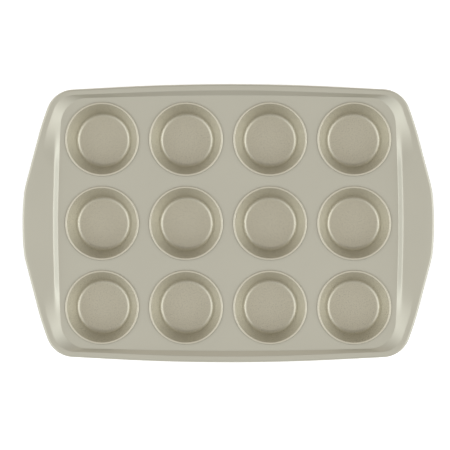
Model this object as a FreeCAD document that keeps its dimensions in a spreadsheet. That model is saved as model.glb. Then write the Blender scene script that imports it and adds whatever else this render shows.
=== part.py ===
"""A twelve-cup muffin tin of coated sheet steel.

One pressed frame carries the deck, the low wall round it, the rim and both handles. Twelve drawn
cups are seamed into the frame's collars, and the frame's edge is curled round a loop of wire.
Millimetres, +Z up, +X along the tin. The cups stand on z = 0 and the tin is centred on the axes.
"""
import FreeCAD, Part
import math
import os
import Sketcher

COLUMNS = 4
ROWS = 3

# name, number (millimetres unless it says otherwise), what it is
SIZES = [
    ("cup_pitch", 84.2, "from one cup's axis to the next, along and across"),
    ("mouth_radius", 35.0, "inside the cup at its mouth"),
    ("floor_radius", 26.6, "inside the cup, where wall and floor would meet"),
    ("cup_depth", 30.0, "from the deck's top down to the cup's floor"),
    ("cup_sheet", 0.6, "thickness of the cup's steel"),
    ("neck_depth", 2.2, "upright stretch of the cup's wall below the deck's top"),
    ("floor_curve", 4.0, "inside radius where the cup's wall meets its floor"),
    ("seam_gap", 0.05, "clearance between two sheets in the seam and the hem"),
    ("collar_rise", 1.0, "height of the frame's collar above the deck's top"),
    ("collar_bend", 0.4, "bevel at the collar's foot"),
    ("lip_bevel", 0.5, "bevel along the pressed lip's two edges"),
    ("frame_sheet", 0.8, "thickness of the frame's steel"),
    ("end_land", 6.9, "deck beyond the last seam, at the ends"),
    ("side_land", 6.6, "deck beyond the last seam, at the sides"),
    ("rim_rise", 4.0, "height of the rim above the deck"),
    ("end_run", 3.8, "sideways run of the wall at the handles"),
    ("side_run", 5.1, "sideways run of the wall at the long sides"),
    ("press_bend", 1.4, "inside radius of the wall's bends"),
    ("deck_end_curve", 1450.0, "bow of the deck's ends"),
    ("deck_side_curve", 3900.0, "bow of the deck's long sides"),
    ("deck_corner_curve", 13.0, "radius of the deck's corners"),
    ("deck_fan_curve", 500.0, "easing of the deck's ends beside the handles"),
    ("deck_hollow_draw", 0.7, "how far the deck's end sits in, where the wall starts to widen"),
    ("deck_bend_draw", 2.1, "how far the deck's end sits in, where the wall is widest"),
    ("deck_corner_draw", 4.0, "how far the deck's corners sit in from its ends"),
    ("deck_corner_drop", 2.9, "how far the deck's corners sit in from its sides"),
    ("fan_start", 69.9, "where the wall starts to widen, in from the deck's side"),
    ("fan_end", 37.9, "where the wall is widest, in from the deck's side"),
    ("fan_spread", 12.9, "the wall's run where it is widest"),
    ("fan_hollow_curve", 45.0, "inward curve of the wall's brow at the handle"),
    ("fan_bend_curve", 20.0, "outward curve of the wall's brow beside the corner"),
    ("brow_curve", 1894.0, "bow of the wall's upper edge"),
    ("brow_hollow_draw", 0.3, "how far the wall's upper edge sits in, where it starts to widen"),
    ("brow_corner_run", 2.6, "the wall's run at the corner, along the tin"),
    ("brow_corner_rise", 1.9, "the wall's run at the corner, across the tin"),
    ("brow_corner_curve", 21.3, "corner radius of the wall's upper edge"),
    ("strip", 4.2, "flat of the rim between the wall and the wire's line"),
    ("grip_reach", 29.8, "flat of the handle between the wall and the wire's line"),
    ("grip_curve", 315.0, "bow of the handle's end"),
    ("grip_half", 32.3, "half the length of the handle's end"),
    ("grip_round", 0.906, "how round the handle's end is: the bow's share of its whole half"),
    ("shoulder_curve", 77.0, "curve from the handle's end into its slanted flank"),
    ("flank_out", 0.39, "the flank's middle, as a share of the way from corner to handle, outwards"),
    ("flank_in", 0.334, "the flank's middle, as a share of the same way, across the tin"),
    ("flank_curve", 300.0, "bow of the flank"),
    ("rim_corner_curve", 26.4, "corner radius of the rim, on the wire's line"),
    ("rim_side_curve", 2118.0, "bow of the rim's long sides"),
    ("wire_radius", 1.2, "radius of the wire in the rim"),
    ("curl_angle", 250.0, "how far the edge is curled round the wire, in degrees"),
]


class Size:
    """A number with the spreadsheet formula behind it: drawn from one, bound to the other."""

    def __init__(self, number, formula=None):
        self.number = float(number)
        self.formula = formula or repr(float(number))

    def joined(self, sign, other, number):
        return Size(number, f"({self.formula} {sign} {other.formula})")

    def __add__(self, other):
        other = sized(other)
        return self.joined("+", other, self.number + other.number)

    def __sub__(self, other):
        other = sized(other)
        return self.joined("-", other, self.number - other.number)

    def __mul__(self, other):
        other = sized(other)
        return self.joined("*", other, self.number * other.number)

    def __truediv__(self, other):
        other = sized(other)
        return self.joined("/", other, self.number / other.number)

    def __neg__(self):
        return self * -1


def sized(value):
    """A plain number as a Size, and a Size as it is."""
    return value if isinstance(value, Size) else Size(value)


def half_bend(rise, run):
    """The tangent of half the angle whose tangent is rise over run."""
    half = math.atan2(rise.number, run.number) / 2
    return Size(math.tan(half), f"tan(atan({rise.formula} / {run.formula}) / 2)")


def crown(apex, radius, near, side):
    """The corner, outside an arc that peaks at apex, whose straight side runs to (near, side)."""
    centre = apex - radius
    reach = near - centre
    span = math.hypot(reach.number, side.number)
    turn = math.atan2(side.number, reach.number) - math.acos(radius.number / span)
    formula = (
        f"({centre.formula} + {radius.formula} / cos(atan({side.formula} / {reach.formula})"
        f" - acos({radius.formula} / sqrt({reach.formula} ^ 2 + {side.formula} ^ 2))))"
    )
    return Size(centre.number + radius.number / math.cos(turn), formula)


def bind(thing, place, size):
    """Bind one property of a document object to the spreadsheet."""
    thing.setExpression(place, size.formula)


def body_plane(body, role):
    """One of the body's own origin planes or axes."""
    return [item for item in body.Origin.OriginFeatures if item.Role == role][0]


def make_body(doc, label):
    body = doc.addObject("PartDesign::Body", label)
    body.Label = label
    return body


def make_sketch(body, name, role, **offsets):
    """A sketch on one of the body's own planes, moved by the offsets x, y and z."""
    sketch = body.newObject("Sketcher::SketchObject", name)
    sketch.AttachmentSupport = [(body_plane(body, role), "")]
    sketch.MapMode = "FlatFace"
    for axis, size in offsets.items():
        bind(sketch, f"AttachmentOffset.Base.{axis}", size)
    return sketch


def add_bound(sketch, kind, *where, size, number=None):
    """Add a constraint whose value is bound to the spreadsheet."""
    value = size.number if number is None else number
    index = sketch.addConstraint(Sketcher.Constraint(kind, *where, value))
    bind(sketch, f"Constraints[{index}]", size)


def hold_point(sketch, geometry, end, x, y):
    """Fix one point of a sketch at (x, y) from the sketch's origin."""
    for kind, size, axis in (("DistanceX", x, -2), ("DistanceY", y, -1)):
        if size.number == 0:
            sketch.addConstraint(Sketcher.Constraint("PointOnObject", geometry, end, axis))
            continue
        add_bound(sketch, kind, -1, 1, geometry, end, size=size)


def round_corner(before, spot, after, radius):
    """The arc that rounds one corner, and whether the outline turns left there."""
    back = (before - spot).normalize()
    ahead = (after - spot).normalize()
    half = back.getAngle(ahead) / 2
    centre = spot + (back + ahead).normalize() * (radius / math.sin(half))
    trim = radius / math.tan(half)
    left = ahead.cross(back).z > 0
    touches = [spot + back * trim, spot + ahead * trim]
    turns = [math.atan2(touch.y - centre.y, touch.x - centre.x) for touch in touches]
    if not left:
        turns.reverse()
    circle = Part.Circle(centre, FreeCAD.Vector(0, 0, 1), radius)
    return Part.ArcOfCircle(circle, *turns), touches, left


def draw_polygon(sketch, corners):
    """Draw a closed outline anticlockwise through corners (x, y, radius), the radius a Size or None."""
    spots = [FreeCAD.Vector(x.number, y.number, 0) for x, y, radius in corners]
    count = len(corners)
    bends = []
    for index, spot in enumerate(spots):
        radius = corners[index][2]
        if radius:
            before, after = spots[index - 1], spots[(index + 1) % count]
            bends.append(round_corner(before, spot, after, radius.number))
        else:
            bends.append((None, (spot, spot), True))
    lines = []
    for index in range(count):
        ends = bends[index][1][1], bends[(index + 1) % count][1][0]
        lines.append(sketch.addGeometry(Part.LineSegment(*ends), False))
    for index, (x, y, radius) in enumerate(corners):
        before, after = lines[index - 1], lines[index]
        if not radius:
            sketch.addConstraint(Sketcher.Constraint("Coincident", before, 2, after, 1))
            hold_point(sketch, after, 1, x, y)
            continue
        arc = sketch.addGeometry(bends[index][0], False)
        point = sketch.addGeometry(Part.Point(spots[index]), True)
        start, end = (1, 2) if bends[index][2] else (2, 1)
        sketch.addConstraint(
            [
                Sketcher.Constraint("Tangent", before, 2, arc, start),
                Sketcher.Constraint("Tangent", arc, end, after, 1),
                Sketcher.Constraint("PointOnObject", point, 1, before),
                Sketcher.Constraint("PointOnObject", point, 1, after),
            ]
        )
        hold_point(sketch, point, 1, x, y)
        add_bound(sketch, "Radius", arc, size=radius)


def all_round(end, corners, side):
    """A whole outline from its first quarter: end and side are (apex, radius) crowns on the axes."""
    none = sized(0)
    first, last = corners[0], corners[-1]
    tip = crown(end[0], end[1], first[0], first[1])
    top = crown(side[0], side[1], last[1], last[0])
    outline = [(tip, none, end[1])]
    outline += corners
    outline.append((none, top, side[1]))
    outline += [(-x, y, radius) for x, y, radius in reversed(corners)]
    outline.append((-tip, none, end[1]))
    outline += [(-x, -y, radius) for x, y, radius in corners]
    outline.append((none, -top, side[1]))
    outline += [(x, -y, radius) for x, y, radius in reversed(corners)]
    return outline


def ring_sketch(body, name, outline, height):
    """A closed ring drawn level at one height."""
    sketch = make_sketch(body, name, "XY_Plane", z=height)
    draw_polygon(sketch, outline)
    return sketch


def grown(outline, amount):
    """The outline moved outwards by one amount along both axes."""

    def away(size):
        if size.number == 0:
            return size
        return size + amount if size.number > 0 else size - amount

    return [(away(x), away(y), radius + amount) for x, y, radius in outline]


class Tin:
    """The sizes that several pieces share, worked out once from the spreadsheet."""

    def __init__(self, sheet):
        for alias, _, _ in SIZES:
            setattr(self, alias, Size(float(sheet.get(alias)), f"{sheet.Name}.{alias}"))
        # heights
        self.deck_top = self.cup_depth + self.cup_sheet
        self.rim_top = self.deck_top + self.rim_rise
        self.collar_top = self.deck_top + self.collar_rise
        # radii across the seam, from the cup's mouth outwards
        self.neck_outside = self.mouth_radius + self.cup_sheet
        self.collar_inside = self.neck_outside + self.seam_gap
        self.collar_outside = self.collar_inside + self.frame_sheet
        self.leg_inside = self.collar_outside + self.seam_gap
        self.leg_outside = self.leg_inside + self.cup_sheet
        # the hem round the wire
        self.curl_inside = self.wire_radius + self.seam_gap
        self.curl_outside = self.curl_inside + self.frame_sheet
        self.wire_height = self.rim_top - self.curl_outside
        # the deck reaches past the outermost seams by its lands
        self.deck_x = self.cup_x(COLUMNS - 1) + self.leg_outside + self.end_land
        self.deck_y = self.cup_y(ROWS - 1) + self.leg_outside + self.side_land
        self.hollow_y = self.deck_y - self.fan_start
        self.bend_y = self.deck_y - self.fan_end
        self.deck_corner_x = self.deck_x - self.deck_corner_draw
        self.deck_corner_y = self.deck_y - self.deck_corner_drop
        self.brow_corner_x = self.deck_corner_x + self.brow_corner_run
        self.brow_corner_y = self.deck_corner_y + self.brow_corner_rise
        # where the wire crosses the middle of a handle
        self.tip = self.deck_x + self.end_run + self.grip_reach

    def cup_x(self, column):
        return self.cup_pitch * (column - (COLUMNS - 1) / 2)

    def cup_y(self, row):
        return self.cup_pitch * (row - (ROWS - 1) / 2)

    def deck_outline(self):
        """The foot of the wall: gently bowed sides and round corners."""
        corners = [
            (self.deck_x - self.deck_hollow_draw, self.hollow_y, self.deck_fan_curve),
            (self.deck_x - self.deck_bend_draw, self.bend_y, self.deck_fan_curve),
            (self.deck_corner_x, self.deck_corner_y, self.deck_corner_curve),
        ]
        end = (self.deck_x, self.deck_end_curve)
        return all_round(end, corners, (self.deck_y, self.deck_side_curve))

    def brow_outline(self):
        """The wall's upper edge: close to the deck at the handles, fanned out at the corners."""
        end_x = self.deck_x + self.end_run
        bend_x = self.deck_x - self.deck_bend_draw + self.fan_spread
        corners = [
            (end_x - self.brow_hollow_draw, self.hollow_y, self.fan_hollow_curve),
            (bend_x, self.bend_y, self.fan_bend_curve),
            (self.brow_corner_x, self.brow_corner_y, self.brow_corner_curve),
        ]
        side = (self.deck_y + self.side_run, self.brow_curve)
        return all_round((end_x, self.brow_curve), corners, side)

    def wire_outline(self):
        """The wire's line, which the rim's hem follows right round."""
        corner_x = self.brow_corner_x + self.strip
        corner_y = self.brow_corner_y + self.strip
        flank_x = corner_x + (self.tip - corner_x) * self.flank_out
        flank_y = corner_y - (corner_y - self.grip_half) * self.flank_in
        grip_drop = self.grip_half * self.grip_half / (self.grip_curve * 2) * self.grip_round
        corners = [
            (self.tip - grip_drop, self.grip_half, self.shoulder_curve),
            (flank_x, flank_y, self.flank_curve),
            (corner_x, corner_y, self.rim_corner_curve),
        ]
        side = (self.deck_y + self.side_run + self.strip, self.rim_side_curve)
        return all_round((self.tip, self.grip_curve), corners, side)


def edges_along(shape, ring):
    """The names of the shape's edges that lie on a ring drawn in a sketch."""
    names = []
    for index, edge in enumerate(shape.Edges, 1):
        middle = edge.valueAt((edge.FirstParameter + edge.LastParameter) / 2)
        points = [middle] + [vertex.Point for vertex in edge.Vertexes]
        if all(ring.Shape.distToShape(Part.Vertex(point))[0] < 0.001 for point in points):
            names.append(f"Edge{index}")
    return names


def add_fillet(body, name, rings, radius):
    """Round the last feature's edges along some rings."""
    base = body.Tip
    edges = [edge for ring in rings for edge in edges_along(base.Shape, ring)]
    fillet = body.newObject("PartDesign::Fillet", name)
    fillet.Base = (base, edges)
    bind(fillet, "Radius", radius)
    return fillet


def ruled_loft(body, kind, name, first, second):
    """A straight-sided loft from one ring to the other, added or cut away."""
    loft = body.newObject(kind, name)
    loft.Profile = first
    loft.Sections = [second]
    loft.Ruled = True
    return loft


def sweep(body, name, section, path):
    """A section swept along a closed ring."""
    pipe = body.newObject("PartDesign::AdditivePipe", name)
    pipe.Profile = section
    pipe.Spine = (path, [])
    return pipe


def turned(body, kind, name, section):
    """A section turned once round its sketch's upright axis, added or cut away."""
    feature = body.newObject(kind, name)
    feature.Profile = section
    feature.ReferenceAxis = (section, ["V_Axis"])
    feature.Angle = 360
    return feature


def press_tray(doc, tin, body):
    """The rim sheet with the tray pressed down into it: deck, wall and the fans at the corners."""
    under_rim = tin.rim_top - tin.frame_sheet
    under_deck = tin.deck_top - tin.frame_sheet
    rim = body.newObject("PartDesign::Pad", "rim")
    rim.Profile = ring_sketch(body, "rim_line", tin.wire_outline(), under_rim)
    bind(rim, "Length", tin.frame_sheet)
    # the underside is the upper side moved out by the sheet's lean on the sloping wall
    lean = tin.frame_sheet * half_bend(tin.rim_rise, tin.end_run)
    deck_below = ring_sketch(body, "deck_below", grown(tin.deck_outline(), lean), under_deck)
    brow_below = ring_sketch(body, "brow_below", grown(tin.brow_outline(), lean), under_rim)
    deck_above = ring_sketch(body, "deck_above", tin.deck_outline(), tin.deck_top)
    brow_above = ring_sketch(body, "brow_above", tin.brow_outline(), tin.rim_top)
    ruled_loft(body, "PartDesign::AdditiveLoft", "tray", deck_below, brow_below)
    ruled_loft(body, "PartDesign::SubtractiveLoft", "tray_inside", deck_above, brow_above)
    doc.recompute()
    add_fillet(body, "inner_bends", [deck_above, brow_below], tin.press_bend)
    doc.recompute()
    outer = tin.press_bend + tin.frame_sheet
    add_fillet(body, "outer_bends", [deck_below, brow_above], outer)
    doc.recompute()


def curl_section(tin, body):
    """The hem's section at the tin's -X end: the sheet's edge rolled outwards, down and back in."""
    sketch = make_sketch(body, "curl_section", "XZ_Plane", x=-tin.tip, y=tin.wire_height)
    middle = FreeCAD.Vector(0, 0, 0)
    up = FreeCAD.Vector(0, 0, 1)
    turns = [math.radians(90), math.radians(90 + tin.curl_angle.number)]
    radii = (tin.curl_outside, tin.curl_inside)
    arcs = []
    for radius in radii:
        arc = Part.ArcOfCircle(Part.Circle(middle, up, radius.number), *turns)
        arcs.append(sketch.addGeometry(arc, False))
        sketch.addConstraint(Sketcher.Constraint("Coincident", arcs[-1], 3, -1, 1))
        sketch.addConstraint(Sketcher.Constraint("PointOnObject", arcs[-1], 1, -2))
        add_bound(sketch, "Radius", arcs[-1], size=radius)
    outer, inner = (sketch.Geometry[arc] for arc in arcs)
    for end in (1, 2):
        points = [arc.StartPoint if end == 1 else arc.EndPoint for arc in (inner, outer)]
        line = sketch.addGeometry(Part.LineSegment(*points), False)
        sketch.addConstraint(Sketcher.Constraint("Coincident", line, 1, arcs[1], end))
        sketch.addConstraint(Sketcher.Constraint("Coincident", line, 2, arcs[0], end))
    sketch.addConstraint(Sketcher.Constraint("PointOnObject", -1, 1, line))
    slope = tin.curl_angle - 270
    add_bound(sketch, "Angle", line, size=slope, number=math.radians(slope.number))
    return sketch


def pierce_deck(doc, tin, body):
    """A hole at every cup, its edge turned up into a collar for the cup's lip to grip."""
    under_deck = tin.deck_top - tin.frame_sheet
    # the bevel below keeps the sheet's thickness round the collar's foot
    lower_bend = tin.collar_bend + tin.frame_sheet * (2 - math.sqrt(2))
    first = {"x": tin.cup_x(0), "z": -tin.cup_y(0)}
    zero = sized(0)
    hole = make_sketch(body, "hole_section", "XZ_Plane", **first)
    draw_polygon(
        hole,
        [
            (zero, under_deck, None),
            (tin.collar_inside + lower_bend, under_deck, None),
            (tin.collar_inside, under_deck + lower_bend, None),
            (tin.collar_inside, tin.deck_top, None),
            (zero, tin.deck_top, None),
        ],
    )
    collar = make_sketch(body, "collar_section", "XZ_Plane", **first)
    draw_polygon(
        collar,
        [
            (tin.collar_inside, tin.deck_top, None),
            (tin.collar_outside + tin.collar_bend, tin.deck_top, None),
            (tin.collar_outside, tin.deck_top + tin.collar_bend, None),
            (tin.collar_outside, tin.collar_top, None),
            (tin.collar_inside, tin.collar_top, None),
        ],
    )
    pierced = turned(body, "PartDesign::Groove", "hole", hole)
    doc.recompute()
    raised = turned(body, "PartDesign::Revolution", "collar", collar)
    doc.recompute()
    pattern = body.newObject("PartDesign::MultiTransform", "every_cup")
    pattern.Originals = [pierced, raised]
    steps = []
    for name, role, count in (("columns", "X_Axis", COLUMNS), ("rows", "Y_Axis", ROWS)):
        step = doc.addObject("PartDesign::LinearPattern", name)
        step.Direction = (body_plane(body, role), [""])
        step.Occurrences = count
        bind(step, "Length", tin.cup_pitch * (count - 1))
        steps.append(step)
    pattern.Transformations = steps
    body.Tip = pattern
    doc.recompute()


def make_frame(doc, tin):
    """The pressed frame, with its hem round the wire and a collar at every cup."""
    body = make_body(doc, "frame")
    press_tray(doc, tin, body)
    path = ring_sketch(body, "hem_path", tin.wire_outline(), tin.wire_height)
    sweep(body, "hem", curl_section(tin, body), path)
    doc.recompute()
    pierce_deck(doc, tin, body)
    return body


def make_wire(doc, tin):
    """The loop of wire inside the hem."""
    body = make_body(doc, "rim_wire")
    path = ring_sketch(body, "wire_path", tin.wire_outline(), tin.wire_height)
    section = make_sketch(body, "wire_section", "XZ_Plane", x=-tin.tip, y=tin.wire_height)
    up = FreeCAD.Vector(0, 0, 1)
    circle = Part.Circle(FreeCAD.Vector(0, 0, 0), up, tin.wire_radius.number)
    drawn = section.addGeometry(circle, False)
    section.addConstraint(Sketcher.Constraint("Coincident", drawn, 3, -1, 1))
    add_bound(section, "Radius", drawn, size=tin.wire_radius)
    sweep(body, "wire", section, path)
    return body


def make_cup(doc, tin, row, column):
    """A drawn cup: round floor, tapered wall, upright neck, and a lip hooked over the collar."""
    body = make_body(doc, f"cup_{row + 1}_{column + 1}")
    none = sized(0)
    sheet = tin.cup_sheet
    taper = tin.mouth_radius - tin.floor_radius
    neck = tin.deck_top - tin.neck_depth
    wall_height = neck - sheet
    # the outside is the inside moved out by the sheet, square to wall and floor
    floor_shift = sheet * (sized(1) - half_bend(taper, wall_height)) / (
        sized(1) + half_bend(taper, wall_height)
    )
    neck_shift = sheet * half_bend(taper, wall_height)
    fold = tin.collar_top + tin.seam_gap
    lip_top = fold + sheet
    leg_end = tin.deck_top + tin.collar_bend + tin.seam_gap
    bevel = tin.lip_bevel
    section = make_sketch(body, "cup_section", "XZ_Plane")
    draw_polygon(
        section,
        [
            (none, none, None),
            (tin.floor_radius + floor_shift, none, tin.floor_curve + sheet),
            (tin.neck_outside, neck - neck_shift, None),
            (tin.neck_outside, fold, None),
            (tin.leg_inside, fold, None),
            (tin.leg_inside, leg_end, None),
            (tin.leg_outside, leg_end, None),
            (tin.leg_outside, lip_top - bevel, None),
            (tin.leg_outside - bevel, lip_top, None),
            (tin.mouth_radius + bevel, lip_top, None),
            (tin.mouth_radius, lip_top - bevel, None),
            (tin.mouth_radius, neck, None),
            (tin.floor_radius, sheet, tin.floor_curve),
            (none, sheet, None),
        ],
    )
    turned(body, "PartDesign::Revolution", "cup", section)
    bind(body, "Placement.Base.x", tin.cup_x(column))
    bind(body, "Placement.Base.y", tin.cup_y(row))
    return body


def make_sheet(doc):
    """The spreadsheet of driving sizes, one alias to a row."""
    sheet = doc.addObject("Spreadsheet::Sheet", "Sizes")
    for row, (alias, number, meaning) in enumerate(SIZES, 1):
        sheet.set(f"A{row}", alias)
        sheet.set(f"B{row}", str(number))
        sheet.set(f"C{row}", meaning)
        sheet.setAlias(f"B{row}", alias)
    doc.recompute()
    return sheet


def check(doc, pieces):
    """Stop if any object failed, or if any piece isn't one valid solid."""
    for thing in doc.Objects:
        if "Invalid" in thing.State or "Error" in thing.State:
            raise RuntimeError(f"{thing.Name} failed: {thing.State}")
    for piece in pieces:
        shape = piece.Shape
        if shape.isNull() or not shape.isValid() or len(shape.Solids) != 1:
            raise RuntimeError(f"{piece.Label} isn't one valid solid")
        if shape.Volume <= 0:
            raise RuntimeError(f"{piece.Label} is inside out")


def main():
    doc = FreeCAD.newDocument("muffin_tin")
    tin = Tin(make_sheet(doc))
    pieces = [make_frame(doc, tin), make_wire(doc, tin)]
    for row in range(ROWS):
        for column in range(COLUMNS):
            pieces.append(make_cup(doc, tin, row, column))
    doc.recompute()
    check(doc, pieces)
    os.makedirs("parts", exist_ok=True)
    for piece in pieces:
        piece.Shape.exportStep(f"parts/{piece.Label}.step")
        print(piece.Label, round(piece.Shape.Volume, 1), piece.Shape.BoundBox)


main()
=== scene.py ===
import math

import bmesh
import bpy
import numpy as np
from mathutils import Matrix, Vector
from mathutils.geometry import delaunay_2d_cdt


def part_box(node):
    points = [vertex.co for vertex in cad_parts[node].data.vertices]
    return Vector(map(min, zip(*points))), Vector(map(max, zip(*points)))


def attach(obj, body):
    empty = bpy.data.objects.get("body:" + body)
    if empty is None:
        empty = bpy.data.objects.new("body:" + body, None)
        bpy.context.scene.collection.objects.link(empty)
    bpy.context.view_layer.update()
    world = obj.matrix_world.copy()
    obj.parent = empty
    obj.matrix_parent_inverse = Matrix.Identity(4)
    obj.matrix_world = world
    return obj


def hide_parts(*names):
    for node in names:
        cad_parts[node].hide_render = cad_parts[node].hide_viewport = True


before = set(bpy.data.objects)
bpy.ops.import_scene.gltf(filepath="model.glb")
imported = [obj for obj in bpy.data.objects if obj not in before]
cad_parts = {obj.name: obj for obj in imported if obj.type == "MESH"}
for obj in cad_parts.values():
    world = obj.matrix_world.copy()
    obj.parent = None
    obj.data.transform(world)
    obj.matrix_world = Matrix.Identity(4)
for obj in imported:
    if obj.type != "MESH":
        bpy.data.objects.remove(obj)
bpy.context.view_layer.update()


# --- Pressed frame -------------------------------------------------------------------------------
# One blank of 0.8 mm steel, pressed in a single stroke into the deck, the low wall that fans out
# at the corners, the rim and both handles. Its twelve holes have their edges turned up, its rim
# is rolled round a wire, and a warm grey non-stick coat covers it on both sides.
MM = 0.001
FRAME_SHEET = 0.8
FRAME_REACH = np.array(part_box("frame")[1]) / MM
RIM_TOP = FRAME_REACH[2]
RIM_RISE = 4.0
DECK_TOP = RIM_TOP - RIM_RISE
CURL_OUTSIDE = 2.05
CURL_TURN = math.radians(250)
WIRE_HEIGHT = RIM_TOP - CURL_OUTSIDE
WIRE_TIP, WIRE_SIDE = FRAME_REACH[:2] - CURL_OUTSIDE
# a line round the frame: the reach and bow of its ends, the corners of one quarter with their
# radii, and the reach and bow of its sides. The foot and the brow are the wall's two edges.
FOOT_LINE = (
    (170.7, 1200.0),
    [(169.6, 58.0, 500.0), (168.2, 90.0, 500.0), (166.3, 125.0, 27.0)],
    (127.9, 3900.0),
)
BROW_LINE = (
    (178.1, 1900.0),
    [(177.9, 46.0, 30.0), (185.6, 73.0, 12.0), (182.4, 91.0, 60.0), (169.9, 127.9, 22.7)],
    (133.1, 1900.0),
)
WIRE_LINE = (
    (WIRE_TIP, 315.0),
    [(WIRE_TIP - 1.5, 32.3, 77.0), (185.1, 98.1, 300.0), (173.1, 131.1, 26.4)],
    (WIRE_SIDE, 2118.0),
)
# the steep part of the wall runs this far out to a knee. The knee is level with the rim up to the
# first of these distances from the tin's long axis, and sinks into one even slope by the second.
WALL_RUN = 4.3
FAN_FROM, FAN_TO = 52.0, 98.0
# the bend at the foot, by its radius, and those at the knee and the brow, by the length that they
# take from the flat on each side, which is at most a share of it
FOOT_BEND = 1.4
KNEE_TRIM, KNEE_EASE = 0.95, 1.2
BROW_TRIM = 0.8
TRIM_SHARE = 0.4
# turned-up edge of a hole, its rim eased a little
COLLAR_INSIDE, COLLAR_RISE, COLLAR_BEND, COLLAR_EASE = 35.65, 1.0, 0.5, 0.15
# the fine line that closing the seam has scored in the deck: its outer radius, width and depth,
# and how far each flank leans
SCORE_RADIUS, SCORE_WIDTH, SCORE_DEPTH, SCORE_LEAN = 37.5, 0.16, 0.3, 0.02
# points on a quarter of a line's ends and sides, set closer towards its corner by this power. The
# corner is where the line faces this far round from the handle.
END_STEPS, SIDE_STEPS, CROWDING = 84, 64, 1.5
CORNER_FACING = math.radians(50)
ARC_STEPS, BEND_STEPS, CURL_STEPS, HOLE_STEPS, COLLAR_STEPS = 64, 6, 20, 96, 4
# rings between the bends, on the wall, on the fan, and on the rim or handle
WALL_STEPS, FAN_STEPS, FLANGE_STEPS = 1, 2, 4
SAME_POINT = 0.001
SHARP_EDGE = math.radians(40)
UP = np.array((0.0, 0.0, 1.0))


def bow_corner(apex, radius, near, side):
    """Where the tangents of a bowed edge meet, from its apex and from the next corner."""
    centre = apex - radius
    reach = near - centre
    turn = math.atan2(side, reach) - math.acos(radius / math.hypot(side, reach))
    return centre + radius / math.cos(turn)


def arc_at(back, spot, ahead, radius):
    """Points along the arc that rounds a corner, and the level directions out of it."""
    spot = np.array(spot, float)
    ways = [(np.array(other) - spot) / np.linalg.norm(np.array(other) - spot) for other in (back, ahead)]
    half = math.acos(float(ways[0] @ ways[1])) / 2
    centre = spot + sum(ways) / np.linalg.norm(sum(ways)) * radius / math.sin(half)
    start, stop = (spot + way * radius / math.tan(half) - centre for way in ways)
    swing = math.atan2(start[0] * stop[1] - start[1] * stop[0], float(start @ stop))
    angles = math.atan2(start[1], start[0]) + swing * np.linspace(0, 1, ARC_STEPS + 1)
    out = np.stack((np.cos(angles), np.sin(angles)), axis=1)
    return np.hstack((centre + out * radius, out * math.copysign(1.0, swing)))


def walk_round(line, height):
    """Points round the frame along a line, and the directions out of it, close-set at the corners."""
    end, corners, side = line
    tip = bow_corner(*end, *corners[0][:2])
    top = bow_corner(*side, *corners[-1][1::-1])
    chain = [(tip, 0.0, end[1]), *corners, (0.0, top, side[1])]
    (near, down), (left, far) = corners[0][:2], corners[-1][:2]
    spots = [(near, -down), *(corner[:2] for corner in chain), (-left, far)]
    bends = [arc_at(*spots[step : step + 3], chain[step][2]) for step in range(len(chain))]
    middle = len(bends[0]) // 2
    bends[0], bends[-1] = bends[0][middle:], bends[-1][: middle + 1]
    path = np.concatenate(bends)
    reach = np.append(0, np.cumsum(np.linalg.norm(np.diff(path[:, :2], axis=0), axis=1)))
    corner = reach[np.argmax(np.arctan2(path[:, 3], path[:, 2]) > CORNER_FACING)]
    close = 1 - (1 - np.linspace(0, 1, END_STEPS, endpoint=False)) ** CROWDING
    apart = np.linspace(0, 1, SIDE_STEPS + 1) ** CROWDING
    places = np.append(corner * close, corner + (reach[-1] - corner) * apart)
    quarter = np.stack([np.interp(places, reach, column) for column in path.T], axis=1)
    half = np.concatenate((quarter, quarter[-2::-1] * (-1, 1, -1, 1)))
    whole = np.concatenate((half, -half[1:-1]))
    level = np.zeros((len(whole), 1))
    return np.hstack((whole[:, :2], level + height)), np.hstack((whole[:, 2:], level))


def length(ways):
    """The lengths of many vectors, as a column."""
    return np.linalg.norm(ways, axis=-1, keepdims=True)


def bend(start, corner, stop, steps):
    """Rings from start to stop, round an arc whose tangents meet at the corner."""
    back, ahead = start - corner, stop - corner
    facing = (back * ahead).sum(axis=-1, keepdims=True) / (length(back) * length(ahead))
    weight = np.sqrt((1 - facing) / 2)
    rings = []
    for share in np.linspace(0, 1, steps + 1):
        parts = (1 - share) ** 2, 2 * weight * share * (1 - share), share**2
        rings.append((parts[0] * start + parts[1] * corner + parts[2] * stop) / sum(parts))
    return rings


def between(first, last, steps):
    """Rings spaced evenly between two rings, without the two."""
    return [first + (last - first) * share for share in np.linspace(0, 1, steps + 2)[1:-1]]


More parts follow.
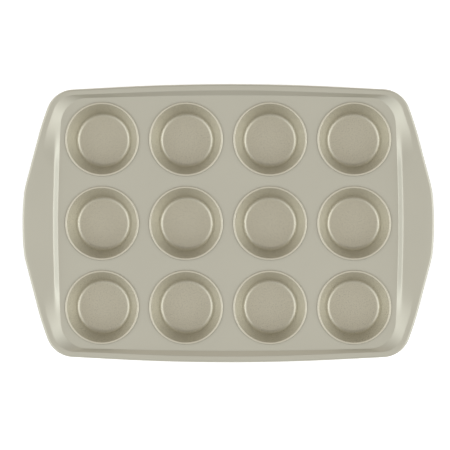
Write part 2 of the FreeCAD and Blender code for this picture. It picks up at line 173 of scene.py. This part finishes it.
def pressed_rings():
    """Rings over the sheet's upper side, from the wall's foot to the curl's end, and their normals."""
    foot = walk_round(FOOT_LINE, DECK_TOP)[0]
    brow = walk_round(BROW_LINE, RIM_TOP)[0]
    wire, wire_out = walk_round(WIRE_LINE, RIM_TOP)
    run = (brow - foot) * (1, 1, 0)
    fade = np.clip((abs(foot[:, 1:2]) - FAN_FROM) / (FAN_TO - FAN_FROM), 0, 1)
    fade = fade * fade * (3 - 2 * fade)
    share = np.minimum(WALL_RUN / length(run), 1)
    climb = RIM_RISE * (share + (1 - share) * (1 - fade))
    knee = foot + run * share + UP * climb
    level, wall, fan = run / length(run), knee - foot, brow - knee
    foot_trim = FOOT_BEND * np.tan(np.arctan2(climb, WALL_RUN) / 2)
    shorter = np.minimum(length(wall), length(fan))
    knee_trim = np.minimum(KNEE_TRIM + KNEE_EASE * fade, TRIM_SHARE * shorter)
    brow_trim = np.minimum(BROW_TRIM, TRIM_SHARE * length(fan))
    wall, fan = wall / length(wall), fan / length(fan)
    rings = bend(foot - level * foot_trim, foot, foot + wall * foot_trim, BEND_STEPS)
    upper = bend(knee - wall * knee_trim, knee, knee + fan * knee_trim, BEND_STEPS)
    rings += between(rings[-1], upper[0], WALL_STEPS) + upper
    upper = bend(brow - fan * brow_trim, brow, brow + level * brow_trim, BEND_STEPS)
    rings += between(rings[-1], upper[0], FAN_STEPS) + upper
    flat_from = len(rings) - 1
    rings += between(rings[-1], wire, FLANGE_STEPS)
    curl_from = len(rings)
    rolled = []
    for angle in np.linspace(0, CURL_TURN, CURL_STEPS + 1):
        rolled.append(wire_out * math.sin(angle) + UP * math.cos(angle))
        rings.append(wire + rolled[-1] * CURL_OUTSIDE - UP * CURL_OUTSIDE)
    rings = np.array(rings)
    around = np.roll(rings, -1, axis=1) - np.roll(rings, 1, axis=1)
    normals = np.cross(np.gradient(rings, axis=0), around)
    normals /= length(normals)
    normals[0] = normals[flat_from:curl_from] = UP
    normals[curl_from:] = rolled
    return rings, normals


def ring_faces(first, count, rings, flip=False):
    """Faces between stacked rings of count points each, from the vertex number first."""
    faces = []
    for low in range(first, first + (rings - 1) * count, count):
        for step in range(count):
            side = (step + 1) % count
            face = (low + step, low + side, low + count + side, low + count + step)
            faces.append(face[::-1] if flip else face)
    return faces


def flat_sheet(outer, holes, upward):
    """A level face inside the outer ring and outside the holes, as points and triangles."""
    loops = [outer, *holes]
    edges, first = [], 0
    for loop in loops:
        edges += [(first + step, first + (step + 1) % len(loop)) for step in range(len(loop))]
        first += len(loop)
    flat = [Vector(point[:2]) for point in np.concatenate(loops).tolist()]
    spots, _, triangles, _, _, _ = delaunay_2d_cdt(flat, edges, [], 1, 1e-6)
    centres = [hole.mean(0)[:2] for hole in holes]
    rounds = [(centre, length(hole[0, :2] - centre)) for centre, hole in zip(centres, holes)]
    kept = []
    for triangle in triangles:
        a, b, c = (spots[corner] for corner in triangle)
        middle = np.array((a + b + c) / 3)
        if any(length(middle - centre) < radius for centre, radius in rounds):
            continue
        turns_left = (b - a).cross(c - a) > 0
        kept.append(tuple(triangle) if turns_left == upward else tuple(triangle)[::-1])
    return np.array([(spot.x, spot.y, outer[0, 2]) for spot in spots]), kept


def circle(centre, radius, height):
    """Points round a level circle, anticlockwise."""
    angles = np.linspace(0, 2 * math.pi, HOLE_STEPS, endpoint=False)
    ring = np.stack((np.cos(angles), np.sin(angles), 0 * angles), axis=1) * radius
    return ring + (centre[0], centre[1], height)


def collar_section():
    """The scored line and the turned-up edge of a hole, from the deck's top to its underside."""
    outside, top = COLLAR_INSIDE + FRAME_SHEET, DECK_TOP + COLLAR_RISE
    edge, deep = SCORE_RADIUS - SCORE_WIDTH, DECK_TOP - SCORE_DEPTH
    section = [(SCORE_RADIUS, DECK_TOP), (SCORE_RADIUS - SCORE_LEAN, deep)]
    section += [(edge + SCORE_LEAN, deep), (edge, DECK_TOP)]
    for angle in np.linspace(0, math.pi / 2, COLLAR_STEPS + 1):
        across, up = COLLAR_BEND * (1 - math.sin(angle)), COLLAR_BEND * (1 - math.cos(angle))
        section.append((outside + across, DECK_TOP + up))
    section += [(outside, top - COLLAR_EASE), (outside - COLLAR_EASE, top)]
    section += [(COLLAR_INSIDE + COLLAR_EASE, top), (COLLAR_INSIDE, top - COLLAR_EASE)]
    under = COLLAR_BEND + FRAME_SHEET
    for angle in np.linspace(math.pi / 2, 0, COLLAR_STEPS + 1):
        across, up = under * (1 - math.sin(angle)), under * (1 - math.cos(angle))
        section.append((COLLAR_INSIDE + across, DECK_TOP - FRAME_SHEET + up))
    return section


def cup_axis(row, column):
    """The level place of a cup's axis, from its solid."""
    return np.add(*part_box(f"cup_{row}_{column}"))[:2] / 2 / MM


def add_object(name, mesh):
    """An object at the origin that shows a mesh."""
    made = bpy.data.objects.new(name, mesh)
    bpy.context.scene.collection.objects.link(made)
    return made


def add_piece(name, points, faces, material):
    """A smooth closed piece from points in millimetres, its doubles merged."""
    mesh = bpy.data.meshes.new(name)
    mesh.from_pydata((np.asarray(points) * MM).tolist(), [], faces)
    shape = bmesh.new()
    shape.from_mesh(mesh)
    bmesh.ops.remove_doubles(shape, verts=shape.verts, dist=SAME_POINT * MM)
    shape.to_mesh(mesh)
    shape.free()
    mesh.shade_smooth()
    mesh.set_sharp_from_angle(angle=SHARP_EDGE)
    mesh.materials.append(material)
    return add_object(name, mesh)


def sprayed_coat(name, colour, roughness):
    """Satin non-stick coat: a warm grey film with fine flake in it, a little uneven in tone."""
    material = bpy.data.materials.new(name)
    material.use_nodes = True
    nodes, links = material.node_tree.nodes, material.node_tree.links
    shader = nodes["Principled BSDF"]
    place = nodes.new("ShaderNodeTexCoord")
    cloud = nodes.new("ShaderNodeTexNoise")
    cloud.inputs["Scale"].default_value = 14.0
    cloud.inputs["Detail"].default_value = 3.0
    tint = nodes.new("ShaderNodeMix")
    tint.data_type = "RGBA"
    tint.inputs["A"].default_value = (*(0.965 * value for value in colour), 1)
    tint.inputs["B"].default_value = (*(1.035 * value for value in colour), 1)
    flake = nodes.new("ShaderNodeTexNoise")
    flake.inputs["Scale"].default_value = 1400.0
    flake.inputs["Detail"].default_value = 2.0
    gloss = nodes.new("ShaderNodeMapRange")
    gloss.inputs["From Min"].default_value = 0.3
    gloss.inputs["From Max"].default_value = 0.7
    gloss.inputs["To Min"].default_value = roughness - 0.03
    gloss.inputs["To Max"].default_value = roughness + 0.03
    bump = nodes.new("ShaderNodeBump")
    bump.inputs["Strength"].default_value = 0.12
    bump.inputs["Distance"].default_value = 0.02 * MM
    for source, target in (
        (place.outputs["Object"], cloud.inputs["Vector"]),
        (place.outputs["Object"], flake.inputs["Vector"]),
        (cloud.outputs["Fac"], tint.inputs["Factor"]),
        (tint.outputs["Result"], shader.inputs["Base Color"]),
        (flake.outputs["Fac"], gloss.inputs["Value"]),
        (gloss.outputs["Result"], shader.inputs["Roughness"]),
        (flake.outputs["Fac"], bump.inputs["Height"]),
        (bump.outputs["Normal"], shader.inputs["Normal"]),
    ):
        links.new(source, target)
    shader.inputs["Metallic"].default_value = 0.45
    return material


frame_coat = sprayed_coat("satin grey frame coat", (0.456, 0.435, 0.354), 0.34)
upper, normals = pressed_rings()
under = upper - normals * FRAME_SHEET
stations = upper.shape[1]
points = [*upper, *under]
faces = ring_faces(0, stations, len(upper), flip=True)
faces += ring_faces(len(upper) * stations, stations, len(upper))
cut, cut_under = (len(upper) - 1) * stations, (2 * len(upper) - 1) * stations
for step in range(stations):
    side = (step + 1) % stations
    faces.append((cut + side, cut + step, cut_under + step, cut_under + side))
section = collar_section()
axes = [cup_axis(row, column) for row in (1, 2, 3) for column in (1, 2, 3, 4)]
for ring, (radius, height), upward in ((upper[0], section[0], True), (under[0], section[-1], False)):
    total = sum(len(part) for part in points)
    spots, triangles = flat_sheet(ring, [circle(axis, radius, height) for axis in axes], upward)
    points.append(spots)
    faces += [tuple(total + corner for corner in triangle) for triangle in triangles]
for axis in axes:
    total = sum(len(part) for part in points)
    stack = [circle(axis, radius, height) for radius, height in section]
    points += stack
    faces += ring_faces(total, len(stack[0]), len(stack))
pressed_frame = add_piece("pressed_frame", np.concatenate(points), faces, frame_coat)
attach(pressed_frame, "root")
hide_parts("frame")


# --- Rim wire ------------------------------------------------------------------------------------
# A loop of bare 2.4 mm drawn steel wire, butt-welded, that the rim's edge is rolled round. It
# stiffens the rim, and only a sliver of it shows from below, inside the open side of the curl.
WIRE_RADIUS = 1.2
WIRE_SIDES = 16


def grow_tree(name, sockets):
    """A geometry tree with named inputs, and a way to add a node with its settings and wires."""
    tree = bpy.data.node_groups.new(name, "GeometryNodeTree")
    tree.interface.new_socket("Geometry", in_out="INPUT", socket_type="NodeSocketGeometry")
    for label, kind in sockets:
        tree.interface.new_socket(label, in_out="INPUT", socket_type=kind)
    tree.interface.new_socket("Geometry", in_out="OUTPUT", socket_type="NodeSocketGeometry")
    given = tree.nodes.new("NodeGroupInput").outputs
    result = tree.nodes.new("NodeGroupOutput").inputs[0]

    def node(kind, wires, **settings):
        made = tree.nodes.new(kind)
        for key, value in settings.items():
            setattr(made, key, value)
        for socket, source in wires.items():
            if isinstance(source, bpy.types.NodeSocket):
                tree.links.new(source, made.inputs[socket])
            else:
                made.inputs[socket].default_value = source
        return made.outputs[0]

    return tree, given, result, node


def run_tree(name, tree, line, closed, values):
    """A plain mesh object from a tree run on a line through points in millimetres."""
    count = len(line)
    edges = [(step, (step + 1) % count) for step in range(count if closed else count - 1)]
    mesh = bpy.data.meshes.new(name)
    mesh.from_pydata((np.asarray(line) * MM).tolist(), edges, [])
    source = add_object(name, mesh)
    modifier = source.modifiers.new(tree.name, "NODES")
    modifier.node_group = tree
    for item in tree.interface.items_tree:
        if item.in_out == "INPUT" and item.name in values:
            modifier[item.identifier] = values[item.name]
    ready = source.evaluated_get(bpy.context.evaluated_depsgraph_get())
    made = bpy.data.meshes.new_from_object(ready)
    bpy.data.objects.remove(source)
    return add_object(name, made)


def bare_steel(name):
    """Drawn mild steel, faintly streaked by the die."""
    material = bpy.data.materials.new(name)
    material.use_nodes = True
    nodes, links = material.node_tree.nodes, material.node_tree.links
    shader = nodes["Principled BSDF"]
    place = nodes.new("ShaderNodeTexCoord")
    streak = nodes.new("ShaderNodeTexNoise")
    streak.inputs["Scale"].default_value = 600.0
    tint = nodes.new("ShaderNodeMix")
    tint.data_type = "RGBA"
    tint.inputs["A"].default_value = (0.38, 0.37, 0.36, 1)
    tint.inputs["B"].default_value = (0.56, 0.55, 0.54, 1)
    links.new(place.outputs["Object"], streak.inputs["Vector"])
    links.new(streak.outputs["Fac"], tint.inputs["Factor"])
    links.new(tint.outputs["Result"], shader.inputs["Base Color"])
    shader.inputs["Metallic"].default_value = 1.0
    shader.inputs["Roughness"].default_value = 0.35
    return material


tree, given, result, node = grow_tree(
    "wire along a line",
    [
        ("Wire radius", "NodeSocketFloat"),
        ("Sides", "NodeSocketInt"),
        ("Material", "NodeSocketMaterial"),
    ],
)
path = node("GeometryNodeMeshToCurve", {"Mesh": given["Geometry"]})
ring = node(
    "GeometryNodeCurvePrimitiveCircle",
    {"Resolution": given["Sides"], "Radius": given["Wire radius"]},
)
tube = node("GeometryNodeCurveToMesh", {"Curve": path, "Profile Curve": ring})
joined = node("GeometryNodeRealizeInstances", {"Geometry": tube})
smooth = node("GeometryNodeSetShadeSmooth", {"Geometry": joined})
tree.links.new(node("GeometryNodeSetMaterial", {"Geometry": smooth, "Material": given["Material"]}), result)
wire_loop = run_tree(
    "wire_loop",
    tree,
    walk_round(WIRE_LINE, WIRE_HEIGHT)[0],
    True,
    {
        "Wire radius": WIRE_RADIUS * MM,
        "Sides": WIRE_SIDES,
        "Material": bare_steel("bare drawn wire"),
    },
)
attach(wire_loop, "root")
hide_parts("rim_wire")


# --- Drawn cups ----------------------------------------------------------------------------------
# Twelve cups of 0.6 mm steel, each drawn to a flat floor, a round bend and a tapered wall. The
# mouth's edge is hooked over the frame's collar and pressed tight, which leaves a round bead.
CUP_SHEET = 0.6
MOUTH_RADIUS, FLOOR_RADIUS, FLOOR_BEND = 35.0, 26.9, 4.8
NECK_DEPTH, NECK_BEND = 2.2, 4.0
NECK_HEIGHT = DECK_TOP - NECK_DEPTH
# the bead's outer leg stops short of the deck by the gap
BEAD_OUTSIDE, BEAD_GAP, BEAD_BEND, BEAD_INNER_BEND = 37.1, 0.45, 0.8, 0.35
BEAD_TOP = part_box("cup_1_1")[1].z / MM
# a ring of points on the flat floor, so that its faces aren't long slivers
FLOOR_RING = 12.0
# a bend gets a point for every so many degrees, and no fewer steps than this
STEP_DEGREES, FEWEST_STEPS = 8, 4
# the sections turn on a mandrel of this radius, which the finished cup doesn't keep
MANDREL = 1.0
CUP_SIDES = 96
CUP_SAME_POINT = 0.002


def rounded_section(corners):
    """A section through corners (radius, height, bend), rounded where a bend is given."""
    section = []
    for index, (across, up, radius) in enumerate(corners):
        spot = np.array((across, up))
        if not radius:
            section.append(spot)
            continue
        back, ahead = (np.array(corners[index + side][:2]) - spot for side in (-1, 1))
        back, ahead = back / length(back), ahead / length(ahead)
        half = math.acos(float(back @ ahead)) / 2
        trim = radius / math.tan(half)
        steps = max(FEWEST_STEPS, round(math.degrees(math.pi - 2 * half) / STEP_DEGREES))
        section += bend(spot + back * trim, spot, spot + ahead * trim, steps)
    return section


def cup_section():
    """Half a cup's section, from the floor's middle inside, over the bead and back underneath."""
    neck_outside, leg_inside = MOUTH_RADIUS + CUP_SHEET, BEAD_OUTSIDE - CUP_SHEET
    leg_end = DECK_TOP + BEAD_GAP
    slant = math.hypot(MOUTH_RADIUS - FLOOR_RADIUS, NECK_HEIGHT) / NECK_HEIGHT
    floor_outside = FLOOR_RADIUS + CUP_SHEET * (slant - (MOUTH_RADIUS - FLOOR_RADIUS) / NECK_HEIGHT)
    return rounded_section([
        (0.0, CUP_SHEET, None),
        (FLOOR_RING, CUP_SHEET, None),
        (FLOOR_RADIUS, CUP_SHEET, FLOOR_BEND),
        (MOUTH_RADIUS, NECK_HEIGHT, NECK_BEND),
        (MOUTH_RADIUS, BEAD_TOP, BEAD_BEND),
        (BEAD_OUTSIDE, BEAD_TOP, BEAD_BEND),
        (BEAD_OUTSIDE, leg_end, None),
        (leg_inside, leg_end, None),
        (leg_inside, BEAD_TOP - CUP_SHEET, BEAD_INNER_BEND),
        (neck_outside, BEAD_TOP - CUP_SHEET, BEAD_INNER_BEND),
        (neck_outside, NECK_HEIGHT, NECK_BEND - CUP_SHEET),
        (floor_outside, 0.0, FLOOR_BEND + CUP_SHEET),
        (FLOOR_RING, 0.0, None),
        (0.0, 0.0, None),
    ])


def drawn_coat(name, colour, roughness):
    """The same coat over drawn steel, whose die has left faint rings round each cup."""
    material = sprayed_coat(name, colour, roughness)
    nodes, links = material.node_tree.nodes, material.node_tree.links
    away = nodes.new("ShaderNodeAttribute")
    away.attribute_name = "from_axis"
    rings = nodes.new("ShaderNodeTexNoise")
    rings.noise_dimensions = "1D"
    rings.inputs["Scale"].default_value = 900.0
    rings.inputs["Detail"].default_value = 2.0
    bump = nodes.new("ShaderNodeBump")
    bump.inputs["Strength"].default_value = 0.25
    bump.inputs["Distance"].default_value = 0.05 * MM
    links.new(away.outputs["Fac"], rings.inputs["W"])
    links.new(rings.outputs["Fac"], bump.inputs["Height"])
    links.new(bump.outputs["Normal"], nodes["Bump"].inputs["Normal"])
    return material


tree, given, result, node = grow_tree(
    "cups on a grid",
    [
        ("Mandrel", "NodeSocketFloat"),
        ("Sides", "NodeSocketInt"),
        ("Columns", "NodeSocketInt"),
        ("Rows", "NodeSocketInt"),
        ("Length", "NodeSocketFloat"),
        ("Width", "NodeSocketFloat"),
        ("Merge distance", "NodeSocketFloat"),
        ("Material", "NodeSocketMaterial"),
    ],
)
ring = node(
    "GeometryNodeCurvePrimitiveCircle",
    {"Resolution": given["Sides"], "Radius": given["Mandrel"]},
)
profile = node("GeometryNodeMeshToCurve", {"Mesh": given["Geometry"]})
turned = node("GeometryNodeCurveToMesh", {"Curve": ring, "Profile Curve": profile})
closed = node(
    "GeometryNodeMergeByDistance",
    {"Geometry": turned, "Distance": given["Merge distance"]},
)
place = node("GeometryNodeInputPosition", {})
flat = node("ShaderNodeVectorMath", {0: place, 1: (1.0, 1.0, 0.0)}, operation="MULTIPLY")
away = tree.nodes.new("ShaderNodeVectorMath")
away.operation = "LENGTH"
tree.links.new(flat, away.inputs[0])
marked = node(
    "GeometryNodeStoreNamedAttribute",
    {"Geometry": closed, "Name": "from_axis", "Value": away.outputs["Value"]},
)
sheet = node(
    "GeometryNodeMeshGrid",
    {
        "Size X": given["Length"],
        "Size Y": given["Width"],
        "Vertices X": given["Columns"],
        "Vertices Y": given["Rows"],
    },
)
seated = node("GeometryNodeInstanceOnPoints", {"Points": sheet, "Instance": marked})
joined = node("GeometryNodeRealizeInstances", {"Geometry": seated})
smooth = node("GeometryNodeSetShadeSmooth", {"Geometry": joined})
tree.links.new(node("GeometryNodeSetMaterial", {"Geometry": smooth, "Material": given["Material"]}), result)
first, last = axes[0], axes[-1]
drawn_cups = run_tree(
    "drawn_cups",
    tree,
    [(radius - MANDREL, -height, 0.0) for radius, height in cup_section()],
    False,
    {
        "Mandrel": MANDREL * MM,
        "Sides": CUP_SIDES,
        "Columns": 4,
        "Rows": 3,
        "Length": (last[0] - first[0]) * MM,
        "Width": (last[1] - first[1]) * MM,
        "Merge distance": CUP_SAME_POINT * MM,
        # the cups get a lighter colour than the frame's coat: painted light, brightening the cups to make
        # up for the shade that falls inside them
        "Material": drawn_coat("satin grey cup coat lightened against shade", (0.535, 0.50, 0.395), 0.29),
    },
)
drawn_cups.data.set_sharp_from_angle(angle=SHARP_EDGE)
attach(drawn_cups, "root")
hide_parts(*(f"cup_{row}_{column}" for row in (1, 2, 3) for column in (1, 2, 3, 4)))


# --- Table, light and camera ---------------------------------------------------------------------
# A plain white table of frosted plastic with a faint light under it, inside a tent of soft light
# that glows most past the two handles. The camera is nearly straight above the tin.
TABLE_HALF, TABLE_DROP = 3.0, 0.0003
TABLE_WHITE, TABLE_GLOW = 0.9, 0.36
COOL, PLAIN, WARM = (0.94, 1.00, 1.06), (1.00, 1.00, 1.00), (1.09, 1.00, 0.91)
# each soft lamp of the tent: the way it lies (degrees from +X, degrees up), its strength and tint
LAMPS = {
    "east horizon": (0, 5, 0.80, COOL),
    "east low": (0, 25, 1.55, COOL),
    "east": (0, 45, 1.30, COOL),
    "east high": (0, 65, 0.35, WARM),
    "north east": (45, 15, 0.50, WARM),
    "north": (90, 10, 0.65, WARM),
    "north west": (135, 15, 0.75, WARM),
    "west horizon": (180, 5, 0.55, COOL),
    "west low": (180, 25, 1.15, COOL),
    "west": (180, 45, 1.20, COOL),
    "west high": (180, 65, 0.40, WARM),
    "south west low": (225, 15, 0.35, WARM),
    "south west": (225, 45, 0.90, COOL),
    "south": (270, 10, 0.35, WARM),
    "south east low": (315, 15, 0.25, WARM),
    "south east": (315, 45, 0.65, PLAIN),
    "top": (0, 90, 0.10, WARM),
}
LAMP_FOCUS = 8.0
# metres: how high the camera stands over the rim and where it stands and looks, off the middle
CAMERA_HEIGHT = 2.8
CAMERA_STAND, CAMERA_AIM = (0.043, -0.007), (-0.0030, -0.0018)
VIEW_WIDTH = 0.45

table = bpy.data.meshes.new("table")
corners = [(-1, -1), (1, -1), (1, 1), (-1, 1)]
table.from_pydata([(x * TABLE_HALF, y * TABLE_HALF, -TABLE_DROP) for x, y in corners], [], [(0, 1, 2, 3)])
white = bpy.data.materials.new("plain white table")
white.use_nodes = True
shader = white.node_tree.nodes["Principled BSDF"]
shader.inputs["Base Color"].default_value = (TABLE_WHITE, TABLE_WHITE, TABLE_WHITE, 1)
shader.inputs["Roughness"].default_value = 0.9
shader.inputs["Emission Color"].default_value = (1, 1, 1, 1)
shader.inputs["Emission Strength"].default_value = TABLE_GLOW
table.materials.append(white)
add_object("table", table)

tent = bpy.data.worlds.new("light tent")
tent.use_nodes = True
nodes, links = tent.node_tree.nodes, tent.node_tree.links
way = nodes.new("ShaderNodeTexCoord").outputs["Generated"]


def combine(kind, operation, first, second):
    """A maths node on two sockets or values, in the tent's node tree."""
    made = nodes.new(kind)
    made.operation = operation
    for socket, value in zip(made.inputs, (first, second)):
        if isinstance(value, bpy.types.NodeSocket):
            links.new(value, socket)
        else:
            socket.default_value = value
    return made


glow = (0.0, 0.0, 0.0)
for turn, rise, strength, tint in LAMPS.values():
    turn, rise = math.radians(turn), math.radians(rise)
    towards = math.cos(turn) * math.cos(rise), math.sin(turn) * math.cos(rise), math.sin(rise)
    facing = combine("ShaderNodeVectorMath", "DOT_PRODUCT", way, towards).outputs["Value"]
    facing = combine("ShaderNodeMath", "MAXIMUM", facing, 0.0).outputs[0]
    near = combine("ShaderNodeMath", "POWER", facing, LAMP_FOCUS).outputs[0]
    colour = [strength * value for value in tint]
    lamp = combine("ShaderNodeVectorMath", "MULTIPLY", near, colour).outputs[0]
    glow = combine("ShaderNodeVectorMath", "ADD", lamp, glow).outputs[0]
links.new(glow, nodes["Background"].inputs["Color"])
nodes["Background"].inputs["Strength"].default_value = 1.0
bpy.context.scene.world = tent
bpy.context.scene.view_settings.view_transform = "Standard"

lens = bpy.data.cameras.new("camera")
lens.lens = lens.sensor_width * CAMERA_HEIGHT / VIEW_WIDTH
camera = add_object("camera", lens)
aim = Vector((*CAMERA_AIM, RIM_TOP * MM))
camera.location = (*CAMERA_STAND, aim.z + CAMERA_HEIGHT)
back = (camera.location - aim).normalized()
right = Vector((0, 1, 0)).cross(back).normalized()
camera.rotation_euler = Matrix((right, back.cross(right), back)).transposed().to_euler()
bpy.context.scene.camera = camera
